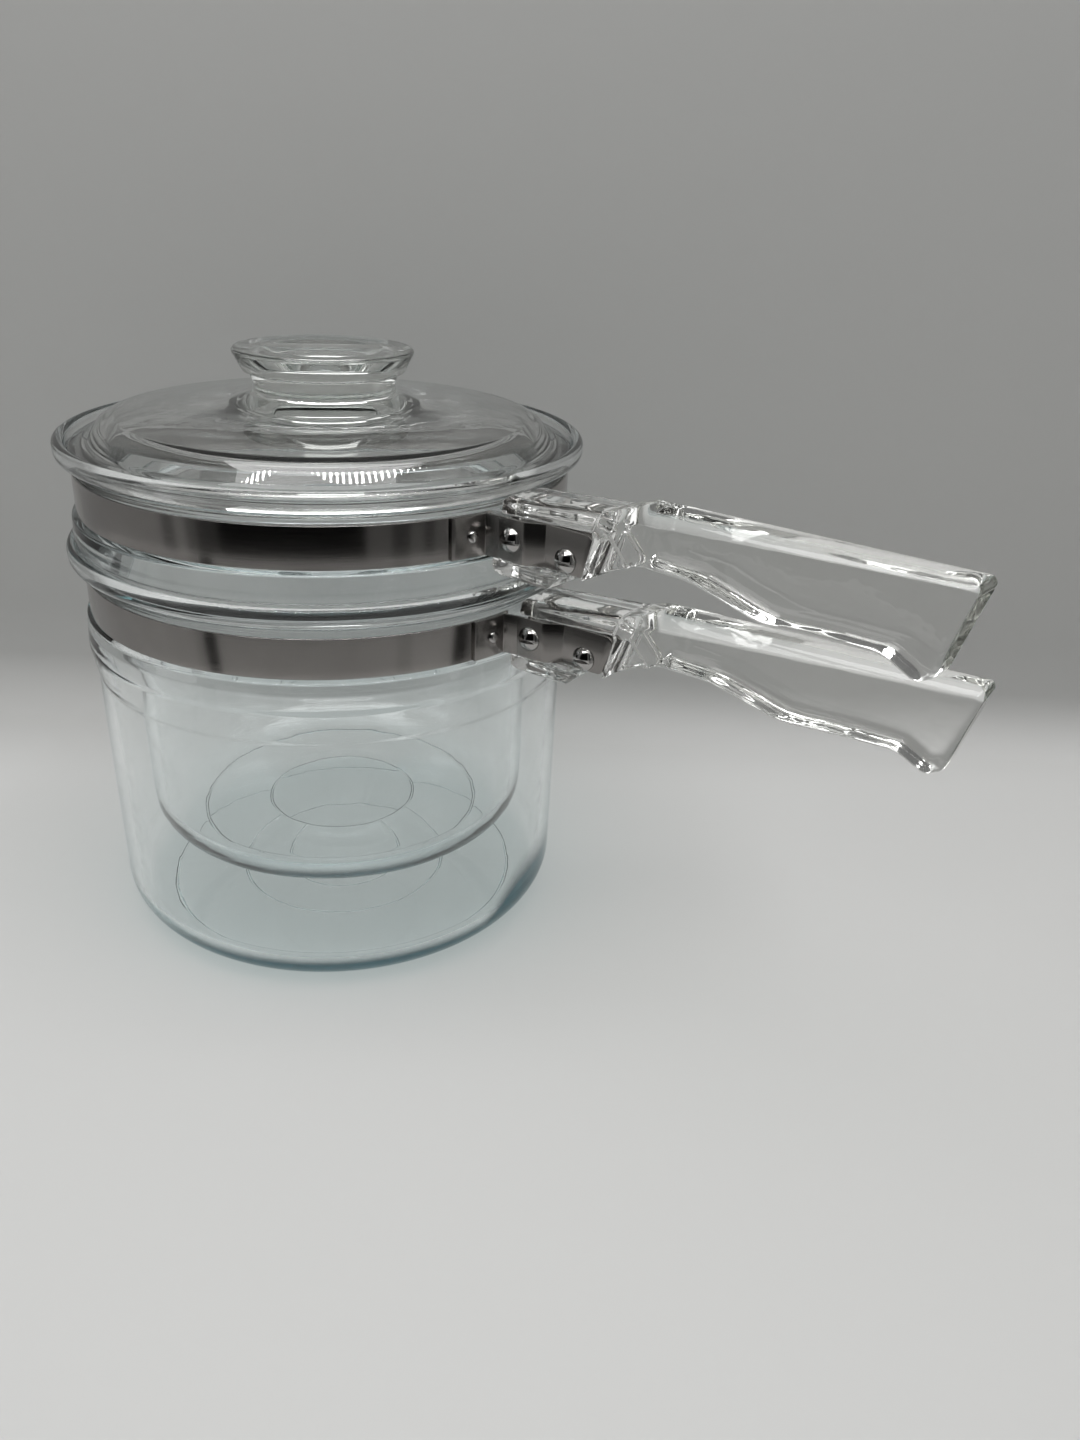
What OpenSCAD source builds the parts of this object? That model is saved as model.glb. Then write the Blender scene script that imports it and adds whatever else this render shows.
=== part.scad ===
// Glass double boiler: a lower saucepan, an insert saucepan that nests in its mouth, and a lid.
// Each saucepan has a pressed glass pot, a steel neck band, two riveted ears and a glass handle
// held by two slotted screws with nuts. Millimetres, +Z up, origin on the table at the pots' axis.
// +X runs out along the lower handle.

/* [Pots] */
// Outer radius of the neck that the band grips, shared by both pots
neck_r = 82; // [74:0.5:92]
// How far the rim flares out past the neck
rim_flare = 5.5; // [4.8:0.1:6.5]
// Glass thickness of the walls
wall = 3.5; // [2.8:0.1:4]
// Glass thickness of the bottoms
floor_t = 4.5; // [3.5:0.1:6]
// How far the round shoulder below the neck stands out
shoulder_out = 2.8; // [2.2:0.1:3.4]
// Height of the rim above the top of the band
rim_rise = 10.5; // [9.5:0.1:12]
// Thickness of the rim's round lip
lip_t = 3.8; // [3:0.1:4.5]
// Height of the seat ledge below the rim
ledge_drop = 6; // [5:0.1:6.5]

/* [Lower pot] */
// How far the lower pot's wall stands out past the neck
wall_out = 1; // [0.4:0.1:1.6]
// Height of the lower band's bottom edge above the table
lower_band_z = 117; // [112:1:130]
// Radius of the rounded bottom corner
lower_corner_r = 15; // [10:1:18]
// Inward taper of the wall from the shoulder to the corner
lower_taper = 1.2; // [0:0.1:2]

/* [Insert pot] */
// How much narrower the insert's bowl is than the neck
bowl_in = 11.5; // [9:0.5:16]
// Height of the insert's bottom above the table
bowl_bottom_z = 31; // [20:1:40]
// Radius of the bowl's rounded bottom corner
bowl_corner_r = 16; // [10:1:20]
// Height of the cone between the insert's neck and its bowl
cone_h = 30; // [22:1:36]
// How far the insert is turned from the lower pot, as it was set down
insert_turn = -6; // [-20:1:20]
// Gap left where the insert sits on the lower rim
seat_gap = 0.3; // [0.2:0.1:0.6]

/* [Lid] */
// Gap between the lid's edge and the rim's inner wall
lid_gap = 0.8; // [0.5:0.1:1.2]
// Glass thickness of the lid
lid_t = 3.5; // [3:0.1:4]
// Width of the lid's flat margin, from the rim's inner wall to the raised top
dome_in = 10.7; // [9:0.1:14]
// Rise of the raised top above the lid's edge
dome_h = 8; // [6:0.5:10]
// Further rise of the raised top towards the knob
crown_h = 4; // [2:0.5:6]
// Radius of the knob's rim
knob_r = 30; // [27:0.5:34]
// Height of the knob above the crown
knob_h = 16.5; // [14:0.5:20]
// How far the knob's waist is drawn in below its rim
waist_in = 7.5; // [6:0.5:10]
// Width of the knob's rim round the dish in its top
dish_in = 12; // [10:0.5:14]
// Depth of the dish
dish_d = 3; // [1:0.5:5]

/* [Band and ears] */
// Height of the steel band
band_h = 13; // [12:0.5:14]
// Thickness of the band
band_t = 0.8; // [0.6:0.1:1]
// Thickness of the bent ears
ear_t = 1; // [0.8:0.1:1.2]
// How far the ear's front plate stands outside its rear tab
plate_step = 4.4; // [3.8:0.1:5]
// Clearance between parts that lie on each other
fit_gap = 0.05; // [0.02:0.01:0.1]
// Angle from the handle to the far end of an ear on the band
ear_reach = 15; // [13:0.5:18]
// Angle from the handle to the rivet
rivet_angle = 10; // [9.6:0.1:11]
// Angle from the handle to the bend where the ear leaves the band
bend_angle = 6.2; // [6:0.1:7]
// Radius of the rivet's shank
rivet_r = 1.2; // [1:0.1:1.5]
// Radius of the rivet's round head
rivet_head_r = 1.9; // [1.7:0.1:2.2]

/* [Handle] */
// Length of the handle from the pot's rim to its tip
handle_len = 141.5; // [125:0.5:160]
// Width of the grip behind the collar, where it is widest
grip_w = 19; // [18:0.5:20]
// Width of the grip at its end
tip_w = 12.8; // [11:0.2:15]
// Width of the shelf between the pot and the collar
shelf_w = 17.5; // [16.5:0.5:18]
// Radius that rounds the shelf's two long edges
shelf_soft = 2.4; // [1:0.1:2.8]
// Thickness of the web between the ears
web_t = 8.8; // [8:0.1:9.4]
// How far the collar ridge stands proud of the grip on each side
collar_out = 0.4; // [0.3:0.1:1]
// Upward tilt of the shelf, in degrees
shelf_tilt = 4.2; // [2:0.1:5]
// Height of the shelf's top above the band's top edge, at the nose
shelf_rise = 6.2; // [5:0.1:6.6]
// Upward tilt of the grip's rounded top, in degrees
crown_tilt = 0.9; // [0:0.1:2]
// Height of the grip's rounded top above the band's top edge, where it begins
crown_rise = 13; // [12:0.2:14]
// Radius of the grip's rounded top, seen along the grip
crown_r = 10.5; // [10.2:0.1:14]
// Depth of the grip where it is thinnest, behind the collar
grip_thin = 18.6; // [16:0.2:20]
// Depth of the grip at its belly
grip_deep = 23.3; // [20:0.5:26]
// Depth of the grip at its heel
heel_deep = 28.3; // [25:0.5:31]
// Distance from the neck to the front screw
front_screw_out = 10.5; // [9.5:0.1:12]
// Distance between the two screws along the handle
screw_pitch = 18.3; // [16.5:0.1:20]
// How far the rear screw lies below the front one
rear_screw_drop = 2.8; // [1:0.1:3]
// Radius of the screws' shanks
screw_r = 2; // [1.5:0.1:2.2]
// Radius of the screws' round heads
head_r = 3.9; // [3.2:0.1:4]
// Height of the screws' round heads
head_h = 2.5; // [1.8:0.1:3]
// Width across the flats of the nuts
nut_af = 7; // [6:0.1:7.4]
// Thickness of the nuts
nut_t = 2.6; // [2:0.1:3.2]

/* [Hidden] */

$fn = 96;
arc_step = 12;
clear_glass = [0.80, 0.88, 0.88, 0.45];
grip_glass = [0.88, 0.89, 0.86, 0.6];
steel = [0.62, 0.61, 0.60];
bright_steel = [0.75, 0.75, 0.76];

// Heights of the neck, measured from the bottom edge of its band
rim_r = neck_r + rim_flare;
shoulder_r = neck_r + shoulder_out;
rim_top = band_h + rim_rise;
ledge_top = rim_top - ledge_drop;
ledge_r = neck_r - wall + 1.5;
lip_in = rim_r - lip_t;
neck_in = neck_r - wall;
shoulder_drop = 11;
shoulder_edge = 1.2;

// The insert's bead stands on the lower rim
bead_drop = 10.2;
insert_band_z = lower_band_z + rim_top + seat_gap + bead_drop;
plug_gap = 0.8;

// The band and its ears
front_screw_x = neck_r + front_screw_out;
rear_screw_x = front_screw_x + screw_pitch;
band_in = neck_r + fit_gap;
band_out = band_in + band_t;
ear_in = band_out + fit_gap;
band_end = 4.5;
tab_y = web_t / 2 + fit_gap;
plate_y = tab_y + plate_step;
plate_end_x = front_screw_x + 5;
tab_start_x = plate_end_x + 5.3;
tab_end_x = rear_screw_x + 8;

// Handle landmarks in side view: x from the pots' axis, z from the band's bottom edge
nose_x = rim_r + 1.2;
lug_x = shoulder_r + 0.4;
lug_z = -6.2;
handle_reach = rim_r + handle_len;
shelf_z = band_h + shelf_rise;
collar_top_x = rear_screw_x + 15.6;
collar_foot_x = rear_screw_x + 7.2;
crown_x = collar_top_x + 11;
screw_z = band_h / 2;
rear_screw_z = screw_z - rear_screw_drop;

// Two-dimensional helpers: a corner rounded by an arc, and an outline of such corners
function unit(v) = v / norm(v);
function corner(before, at, after, r) =
    let (
        u = unit(before - at),
        v = unit(after - at),
        half = acos(max(-1, min(1, u * v))) / 2,
        centre = at + unit(u + v) * r / sin(half),
        start = at + u * r / tan(half),
        finish = at + v * r / tan(half),
        a0 = atan2(start.y - centre.y, start.x - centre.x),
        a1 = atan2(finish.y - centre.y, finish.x - centre.x),
        sweep = ((a1 - a0 + 540) % 360) - 180,
        n = max(2, ceil(abs(sweep) / arc_step))
    )
    [for (i = [0:n]) centre + r * [cos(a0 + sweep * i / n), sin(a0 + sweep * i / n)]];
function xy(p) = [p[0], p[1]];
function outline(pts) = [
    for (i = [0:len(pts) - 1])
        let (p = pts[i], r = p[2])
        each (r == 0 ? [xy(p)]
            : corner(xy(pts[(i + len(pts) - 1) % len(pts)]), xy(p), xy(pts[(i + 1) % len(pts)]), r))
];

// A line of points moved sideways by d, with mitred corners
function side_of(v) = [-v.y, v.x];
function shifted(pts, d) = [
    for (i = [0:len(pts) - 1])
        let (
            u = i > 0 ? unit(pts[i] - pts[i - 1]) : unit(pts[1] - pts[0]),
            v = i < len(pts) - 1 ? unit(pts[i + 1] - pts[i]) : u,
            m = unit(side_of(u) + side_of(v))
        )
        pts[i] + m * d / (m * side_of(u))
];
function polar(r, a) = [r * cos(a), r * sin(a)];
function reversed(v) = [for (i = [len(v) - 1:-1:0]) v[i]];

// Extrudes a side view, drawn in x and z, to a width centred on the handle's plane
module across(width) {
    translate([0, width / 2, 0])
        rotate([90, 0, 0])
            linear_extrude(height = width)
                children();
}

// A shaft-wise cylinder square to the handle's plane, from y0 to y1
module cross_cylinder(x, z, r, y0, y1) {
    translate([x, y1, z])
        rotate([90, 0, 0])
            cylinder(r = r, h = y1 - y0);
}

// Outer and inner neck outlines, from the shoulder up to the lip and back down into the pot
function neck_outside(z) = [
    [neck_r, z - 0.4, 0.4],
    [neck_r, z + band_h + 2, 4],
    [rim_r, z + rim_top - 5, 3],
    [rim_r, z + rim_top, 1.8]
];
function neck_inside(z) = [
    [lip_in, z + rim_top, 1.8],
    [lip_in, z + ledge_top, 1],
    [ledge_r, z + ledge_top, 1],
    [neck_in, z + ledge_top - 3, 3]
];

module lower_pot() {
    z = lower_band_z;
    wall_r = neck_r + wall_out;
    foot_r = wall_r - lower_taper;
    color(clear_glass)
        rotate_extrude()
            polygon(outline(concat(
                [[0, 0, 0]],
                [[foot_r, 0, lower_corner_r]],
                [[wall_r, z - 2 * shoulder_drop, 8]],
                [[shoulder_r, z - shoulder_drop, 6]],
                [[shoulder_r - 0.8, z - shoulder_edge, 1]],
                neck_outside(z),
                neck_inside(z),
                [[neck_in, z + 1, 4]],
                [[shoulder_r - wall, z - shoulder_drop / 2, 4]],
                [[shoulder_r - wall, z - shoulder_drop, 6]],
                [[wall_r - wall, z - 2 * shoulder_drop, 8]],
                [[foot_r - wall, floor_t, lower_corner_r - wall]],
                [[0, floor_t, 0]]
            )));
}

module insert_pot() {
    z = insert_band_z;
    bead_z = z - bead_drop;
    plug_r = lip_in - plug_gap;
    plug_bottom = bead_z - ledge_drop + 1.2;
    bowl_r = neck_r - bowl_in;
    bowl_top = plug_bottom - 4 - cone_h;
    throat_r = neck_in - 1.2;
    b = bowl_bottom_z;
    color(clear_glass)
        rotate_extrude()
            polygon(outline(concat(
                [[0, b, 0]],
                [[bowl_r - 1, b, bowl_corner_r]],
                [[bowl_r, bowl_top, 20]],
                [[throat_r, plug_bottom - 1.8, 2]],
                [[plug_r, plug_bottom, 1]],
                [[plug_r, bead_z, 0.5]],
                [[shoulder_r, bead_z, 1.5]],
                [[shoulder_r - 0.4, z - shoulder_edge, 1]],
                neck_outside(z),
                neck_inside(z),
                [[neck_in, plug_bottom + 2, 3]],
                [[throat_r - wall, plug_bottom - 4, 3]],
                [[bowl_r - wall, bowl_top, 20]],
                [[bowl_r - 1 - wall, b + floor_t, bowl_corner_r - wall]],
                [[0, b + floor_t, 0]]
            )));
}

module lid() {
    edge_r = lip_in - lid_gap;
    dome_r = lip_in - dome_in;
    waist_r = knob_r - waist_in;
    dish_r = knob_r - dish_in;
    edge_z = insert_band_z + ledge_top + seat_gap;
    top_z = edge_z + lid_t;
    dome_z = top_z + dome_h;
    crown_z = dome_z + crown_h;
    knob_top = crown_z + knob_h;
    locate_r = neck_in - lid_gap;
    color(clear_glass)
        rotate_extrude()
            polygon(outline([
                [0, crown_z - lid_t, 0],
                [waist_r + 6, crown_z - lid_t - 0.5, 20],
                [dome_r - lid_t + 0.3, dome_z - lid_t - 0.3, 5],
                [dome_r + 1.5, edge_z - 2, 2],
                [locate_r, edge_z - 3, 1],
                [locate_r + 0.2, edge_z, 0.6],
                [edge_r, edge_z, 1.2],
                [edge_r, top_z - 0.4, 1.4],
                [dome_r + 4.5, top_z + 0.3, 4],
                [dome_r - 1, dome_z - 0.4, 8],
                [knob_r + 1.5, crown_z - 0.6, 4],
                [waist_r, crown_z + 2.6, 3],
                [waist_r + 1.4, crown_z + 6.4, 2],
                [waist_r + 2, crown_z + 8.6, 0.6],
                [knob_r - 3.2, crown_z + 9.3, 0.8],
                [knob_r, knob_top - 1, 0.8],
                [knob_r - 0.9, knob_top, 0.6],
                [dish_r + 2, knob_top - 0.4, 1.5],
                [dish_r - 3, knob_top - dish_d, 3],
                [0, knob_top - dish_d, 0]
            ]));
}

// The steel strap round the neck, open where the handle comes in
module band(z) {
    color(steel)
        translate([0, 0, z])
            difference() {
                rotate([0, 0, band_end])
                    rotate_extrude(angle = 360 - 2 * band_end, $fn = 180)
                        translate([band_in, 0])
                            square([band_t, band_h]);
                for (side = [-1, 1])
                    rotate([0, 90, side * rivet_angle])
                        translate([-band_h / 2, 0, neck_r - 2])
                            cylinder(r = rivet_r + fit_gap, h = 6, $fn = 32);
            }
}

// An ear: along the band, out at the bend, past the front screw and in to the tab beside the web
ear_line = concat(
    [for (a = [ear_reach:-1:bend_angle + 0.5]) polar(ear_in, a)],
    [
        polar(ear_in, bend_angle),
        [front_screw_x - head_r - 0.8, plate_y - ear_t],
        [plate_end_x, plate_y - ear_t],
        [tab_start_x, tab_y],
        [tab_end_x + 4, tab_y]
    ]
);

module ear(z, side) {
    color(steel)
        translate([0, 0, z])
            mirror([0, side < 0 ? 1 : 0, 0])
                difference() {
                    intersection() {
                        linear_extrude(height = band_h)
                            polygon(concat(ear_line, reversed(shifted(ear_line, ear_t))));
                        across(2 * neck_r)
                            polygon(outline([
                                [0, 0, 0],
                                [tab_end_x - 1.6, 0, 1.5],
                                [tab_end_x + 3, band_h, 3],
                                [0, band_h, 0]
                            ]));
                    }
                    rotate([0, 90, rivet_angle])
                        translate([-band_h / 2, 0, neck_r - 2])
                            cylinder(r = rivet_r + fit_gap, h = 6, $fn = 32);
                    cross_cylinder(front_screw_x, screw_z, screw_r + fit_gap, 0, 20);
                    cross_cylinder(rear_screw_x, rear_screw_z, screw_r + fit_gap, 0, 20);
                }
}

module rivets(z) {
    color(bright_steel)
        for (side = [-1, 1])
            translate([0, 0, z + band_h / 2])
                rotate([0, 0, side * rivet_angle])
                    translate([band_in, 0, 0])
                        rotate([0, 90, 0]) {
                            cylinder(r = rivet_r, h = band_t + ear_t + 2 * fit_gap + 0.1, $fn = 32);
                            translate([0, 0, band_t + ear_t + 2 * fit_gap])
                                rotate_extrude($fn = 32)
                                    polygon(outline([
                                        [0, 0, 0],
                                        [rivet_head_r, 0, 0],
                                        [rivet_head_r, 1.1, 1],
                                        [0, 1.2, 0]
                                    ]));
                        }
}

// Side view of the whole handle: shelf, rounded top, raked end and wavy underside
function shelf_line(x) = band_h + shelf_rise + (x - nose_x) * tan(shelf_tilt);
function crown_line(x) = band_h + crown_rise + (x - crown_x) * tan(crown_tilt);
function grip_side() =
    let (
        t = handle_reach,
        c = collar_foot_x,
        k = collar_top_x,
        rear = t - c - 12.5,
        heel = crown_line(t) - heel_deep,
        belly = crown_line(t) - grip_deep,
        thin = crown_line(c + 20) - grip_thin
    )
    [
        [nose_x, shelf_line(nose_x), 2.5],
        [k - 1, shelf_line(k - 1), 8],
        [crown_x, crown_line(crown_x), 16],
        [t, crown_line(t), 2.5],
        [t - 7, heel + 2.6, 2.5],
        [t - 11.5, heel, 3],
        [t - 20, belly - 0.6, 8],
        [t - 0.35 * rear, belly - 0.8, 20],
        [t - 0.53 * rear, belly - 1.8, 24],
        [t - 0.76 * rear, thin + 1, 20],
        [t - 0.94 * rear, thin + 1.6, 10],
        [c + 12.5, 6, 1.5],
        [c + 8, 4, 1],
        [c, -0.4, 2],
        [c - 4, 1.2, 2],
        [c - 12.5, lug_z, 5],
        [lug_x, lug_z + 0.4, 2.8],
        [lug_x, 0, 2.4],
        [nose_x - 0.4, 3, 0],
        [nose_x - 0.4, 12, 0]
    ];

// Plan of the handle: it widens behind the shelf and tapers towards its end
function grip_plan() =
    [for (side = [-1, 1], p = side < 0 ? plan_edge : reversed(plan_edge)) [p.x, side * p.y / 2]];
plan_edge = [
    [lug_x - 1, shelf_w],
    [collar_top_x - 1, shelf_w],
    [collar_top_x + 2, grip_w],
    [handle_reach + 1, tip_w]
];

// The recess that holds the ears, between the shelf, the collar and the lower lug
function recess_side() = [
    [lug_x - 4, -fit_gap * 4, 0],
    [tab_end_x + 0.6, -fit_gap * 4 - 0.4, 0],
    [tab_end_x + 4.2, band_h, 1.5],
    [tab_end_x + 4.8, band_h + 2.2, 1],
    [lug_x - 4, band_h + 0.2, 0]
];

// The three-cornered pocket behind the collar, open below
function pocket_side() =
    let (c = collar_foot_x)
    [
        [c + 2.6, -1.2, 0],
        [c + 3.2, 1.2, 0],
        [c + 9, 16.4, 0.8],
        [c + 15.8, 9.2, 0.8],
        [c + 14, -1.2, 0]
    ];

// Cross-sections looking along the grip: its rounded top, the shelf and the foot of the lower lug
module crown_section() {
    deep = 60;
    translate([0, -crown_r])
        circle(r = crown_r, $fn = 180);
    translate([-crown_r, -deep])
        square([2 * crown_r, deep - crown_r]);
}
module shelf_section() {
    deep = 40;
    edge = shelf_w / 2;
    polygon(outline([
        [-edge, -deep, 0],
        [edge, -deep, 0],
        [edge, 0, shelf_soft],
        [-edge, 0, shelf_soft]
    ]));
}
module foot_section() {
    high = 60;
    half = grip_w;
    edge = shelf_w / 2;
    step = -1.6;
    polygon(outline([
        [-edge, lug_z, 3],
        [edge, lug_z, 3],
        [edge, step, 0],
        [half, step, 0],
        [half, high, 0],
        [-half, high, 0],
        [-half, step, 0],
        [-edge, step, 0]
    ]));
}

// Lays a cross-section along the handle from x, z and tilts it upwards
module along(x, z, tilt, length) {
    translate([x, 0, z])
        rotate([0, -tilt, 0])
            rotate([90, 0, 90])
                linear_extrude(height = length)
                    children();
}

module glass_handle(z) {
    start = lug_x - 4;
    length = handle_reach - start + 6;
    shelf_run = collar_top_x - start - 0.8;
    color(grip_glass)
        translate([0, 0, z])
            difference() {
                union() {
                    intersection() {
                        across(2 * grip_w)
                            polygon(outline(grip_side()));
                        translate([0, 0, -20])
                            linear_extrude(height = 60)
                                polygon(grip_plan());
                        along(start, crown_line(start), crown_tilt, length)
                            crown_section();
                        along(start, 0, 0, length)
                            foot_section();
                        union() {
                            along(start, shelf_line(start), shelf_tilt, shelf_run)
                                shelf_section();
                            translate([collar_top_x - 1, -grip_w, -30])
                                cube([handle_len, 2 * grip_w, 80]);
                        }
                    }
                    collar_ridges();
                }
                for (side = [-1, 1]) {
                    translate([0, side * (web_t / 2 + 5), 0])
                        across(10)
                            polygon(outline(recess_side()));
                    translate([0, side * (web_t / 2 + 5.2), 0])
                        across(10)
                            polygon(outline(pocket_side()));
                }
                cross_cylinder(front_screw_x, screw_z, screw_r + fit_gap, -20, 20);
                cross_cylinder(rear_screw_x, rear_screw_z, screw_r + fit_gap, -20, 20);
            }
}

// The raked ridge that stands proud of both sides behind the ears
module collar_ridges() {
    c = collar_foot_x;
    k = collar_top_x;
    across(grip_w + 2 * collar_out)
        polygon(outline([
            [c + 0.4, 0.4, 0.5],
            [c + 3.4, 1.6, 0.5],
            [k + 3.6, shelf_line(k) - 1.2, 1.5],
            [k - 1, shelf_line(k) - 0.4, 1],
            [c - 0.8, 1.5, 0.5]
        ]));
}

// A slotted screw: round head on the near ear, shank through both ears and the web
module slotted_screw(z, x, h, seat_y) {
    slot_w = 1.1;
    slot_d = 1.2;
    crown = (head_r * head_r + head_h * head_h) / (2 * head_h);
    color(bright_steel)
        translate([x, 0, z + h])
            rotate([90, 0, 0])
                difference() {
                    union() {
                        translate([0, 0, -seat_y - nut_t - 1])
                            cylinder(r = screw_r, h = 2 * seat_y + nut_t + 1.1, $fn = 48);
                        translate([0, 0, seat_y])
                            intersection() {
                                cylinder(r = head_r, h = head_h + 1, $fn = 48);
                                translate([0, 0, head_h - crown])
                                    sphere(r = crown, $fn = 96);
                            }
                    }
                    translate([-head_r - 1, -slot_w / 2, seat_y + head_h - slot_d])
                        cube([2 * head_r + 2, slot_w, head_h]);
                }
}

module hex_nut(z, x, h, seat_y) {
    color(bright_steel)
        translate([x, 0, z + h])
            rotate([-90, 0, 0])
                translate([0, 0, seat_y])
                    difference() {
                        cylinder(r = nut_af / 2 / cos(30), h = nut_t, $fn = 6);
                        translate([0, 0, -1])
                            cylinder(r = screw_r + fit_gap, h = nut_t + 2, $fn = 48);
                    }
}

// The screws' heads and nuts bear on the outer faces of the ears
front_seat = plate_y + fit_gap;
rear_seat = tab_y + ear_t + fit_gap;

module insert_ware() {
    rotate([0, 0, insert_turn])
        children();
}

lid();
insert_pot();
insert_ware() band(insert_band_z);  // insert_band
insert_ware() ear(insert_band_z, 1);  // insert_left_ear
insert_ware() ear(insert_band_z, -1);  // insert_right_ear
insert_ware() rivets(insert_band_z);  // insert_rivets
insert_ware() glass_handle(insert_band_z);  // insert_handle
insert_ware() slotted_screw(insert_band_z, front_screw_x, screw_z, front_seat);  // insert_front_screw
insert_ware() hex_nut(insert_band_z, front_screw_x, screw_z, front_seat);  // insert_front_nut
insert_ware() slotted_screw(insert_band_z, rear_screw_x, rear_screw_z, rear_seat);  // insert_rear_screw
insert_ware() hex_nut(insert_band_z, rear_screw_x, rear_screw_z, rear_seat);  // insert_rear_nut
lower_pot();
band(lower_band_z);  // lower_band
ear(lower_band_z, 1);  // lower_left_ear
ear(lower_band_z, -1);  // lower_right_ear
rivets(lower_band_z);  // lower_rivets
glass_handle(lower_band_z);  // lower_handle
slotted_screw(lower_band_z, front_screw_x, screw_z, front_seat);  // lower_front_screw
hex_nut(lower_band_z, front_screw_x, screw_z, front_seat);  // lower_front_nut
slotted_screw(lower_band_z, rear_screw_x, rear_screw_z, rear_seat);  // lower_rear_screw
hex_nut(lower_band_z, rear_screw_x, rear_screw_z, rear_seat);  // lower_rear_nut
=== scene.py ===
import math

import bmesh
import bpy
from mathutils import Matrix, Vector


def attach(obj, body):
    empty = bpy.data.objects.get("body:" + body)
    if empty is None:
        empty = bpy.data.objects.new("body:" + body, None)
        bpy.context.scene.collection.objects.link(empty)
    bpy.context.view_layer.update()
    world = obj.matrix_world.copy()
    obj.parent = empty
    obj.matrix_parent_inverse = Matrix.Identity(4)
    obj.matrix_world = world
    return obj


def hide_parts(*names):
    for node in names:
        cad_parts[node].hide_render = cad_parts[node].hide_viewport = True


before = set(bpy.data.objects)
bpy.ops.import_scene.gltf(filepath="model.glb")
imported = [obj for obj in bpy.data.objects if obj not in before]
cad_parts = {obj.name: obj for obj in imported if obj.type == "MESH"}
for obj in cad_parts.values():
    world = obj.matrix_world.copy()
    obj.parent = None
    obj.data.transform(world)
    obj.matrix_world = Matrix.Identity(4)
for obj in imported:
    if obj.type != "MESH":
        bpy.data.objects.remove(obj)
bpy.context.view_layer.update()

# Sizes are in millimetres and become metres when a point is placed
MM = 0.001

# The neck that both pots share, with heights over the bottom edge of its band
NECK_R = 82.0
RIM_R = 87.5
SHOULDER_R = 84.8
LIP_IN = 83.7
NECK_IN = 78.5
LEDGE_R = 80.0
WALL = 3.5
FLOOR_T = 4.5
BAND_H = 13.0
RIM_TOP = 23.5
LEDGE_TOP = 17.5
SHOULDER_DROP = 11.0
SHOULDER_EDGE = 1.2

# Where the two bands stand over the table, and how the insert is turned
LOWER_BAND_Z = 117.0
INSERT_BAND_Z = 151.0
INSERT_TURN = math.radians(-6)
INSERT_RISE = (INSERT_BAND_Z - LOWER_BAND_Z) * MM

# Lower pot: how much wider than the neck its body is, its foot and the rings under its base
BODY_OUT = 1.0
FOOT_R = NECK_R + BODY_OUT - 1.2
LOWER_CORNER = 15.0
LOWER_RINGS = (22, 39, 66)

# Insert: its bead, the plug that enters the lower mouth, and its bowl
BEAD_DROP = 10.2
PLUG_GAP = 0.8
PLUG_DEPTH = 4.8
THROAT_IN = 1.2
BOWL_R = NECK_R - 11.5
BOWL_FOOT_R = BOWL_R - 1.0
BOWL_BASE = 31.0
BOWL_DROP = 34.0
BOWL_CORNER = 16.0
BOWL_RINGS = (27.5, 52)

# Lid
LID_GAP = 0.8
SEAT_GAP = 0.3
LID_T = 3.5
DOME_IN = 10.7
DOME_H = 8.0
CROWN_H = 4.0
KNOB_R = 30.0
KNOB_H = 16.5
WAIST_IN = 7.5
DISH_IN = 12.0
DISH_D = 3.0

# Band and ears, with angles in degrees from the handle
FIT_GAP = 0.05
BAND_T = 0.8
BAND_END = 4.5
BAND_STEPS = 175
EAR_T = 1.0
EAR_REACH = 15
EAR_BEND = 6.2
PLATE_Y = 7.85
PLATE_START = 87.8
PLATE_END = 97.5
TAB_Y = 4.45
TAB_START = 102.8
TAB_END = 121.8
TAB_SLANT = 4.6

# Grip: where it starts, where its raked end is, and the height over the band's bottom edge
# under which its edges belong to the underside
GRIP_START = 135.0
GRIP_END = 219.0
UNDERSIDE_TOP = 18.0
UNDERSIDE_ROUND = 3.2
END_ROUND = 1.6
GRIP_VOXEL = 0.5

# Steps round a turned piece, and the distance in metres under which two places are the same
TURN_STEPS = 192
SAME_PLACE = 1e-6


# Modelling helpers

def deselect_all():
    if bpy.context.object and bpy.context.object.mode != "OBJECT":
        bpy.ops.object.mode_set(mode="OBJECT")
    bpy.ops.object.select_all(action="DESELECT")


def take_up(piece):
    """Makes one piece the active and only selected one."""
    deselect_all()
    piece.select_set(True)
    bpy.context.view_layer.objects.active = piece


def edit(piece, kind="VERT"):
    take_up(piece)
    bpy.ops.object.mode_set(mode="EDIT")
    bpy.ops.mesh.select_mode(type=kind)


def done():
    bpy.ops.object.mode_set(mode="OBJECT")


def choose_points(piece, test):
    """In edit mode, selects only the points whose place passes the test."""
    bpy.ops.mesh.select_all(action="DESELECT")
    shape = bmesh.from_edit_mesh(piece.data)
    for point in shape.verts:
        point.select_set(test(point.co))
    shape.select_flush_mode()
    bmesh.update_edit_mesh(piece.data)


def round_edges(piece, test, width, segments):
    """In edit mode, bevels the edges that pass the test, given both ends and both normals."""
    bpy.ops.mesh.select_all(action="DESELECT")
    shape = bmesh.from_edit_mesh(piece.data)
    for line in shape.edges:
        if len(line.link_faces) == 2:
            ends = [point.co for point in line.verts]
            line.select_set(test(ends, [face.normal for face in line.link_faces]))
    bmesh.update_edit_mesh(piece.data)
    bpy.ops.mesh.bevel(offset_type="OFFSET", offset=width * MM, segments=segments, profile=0.5,
                       affect="EDGES", clamp_overlap=False)


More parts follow.
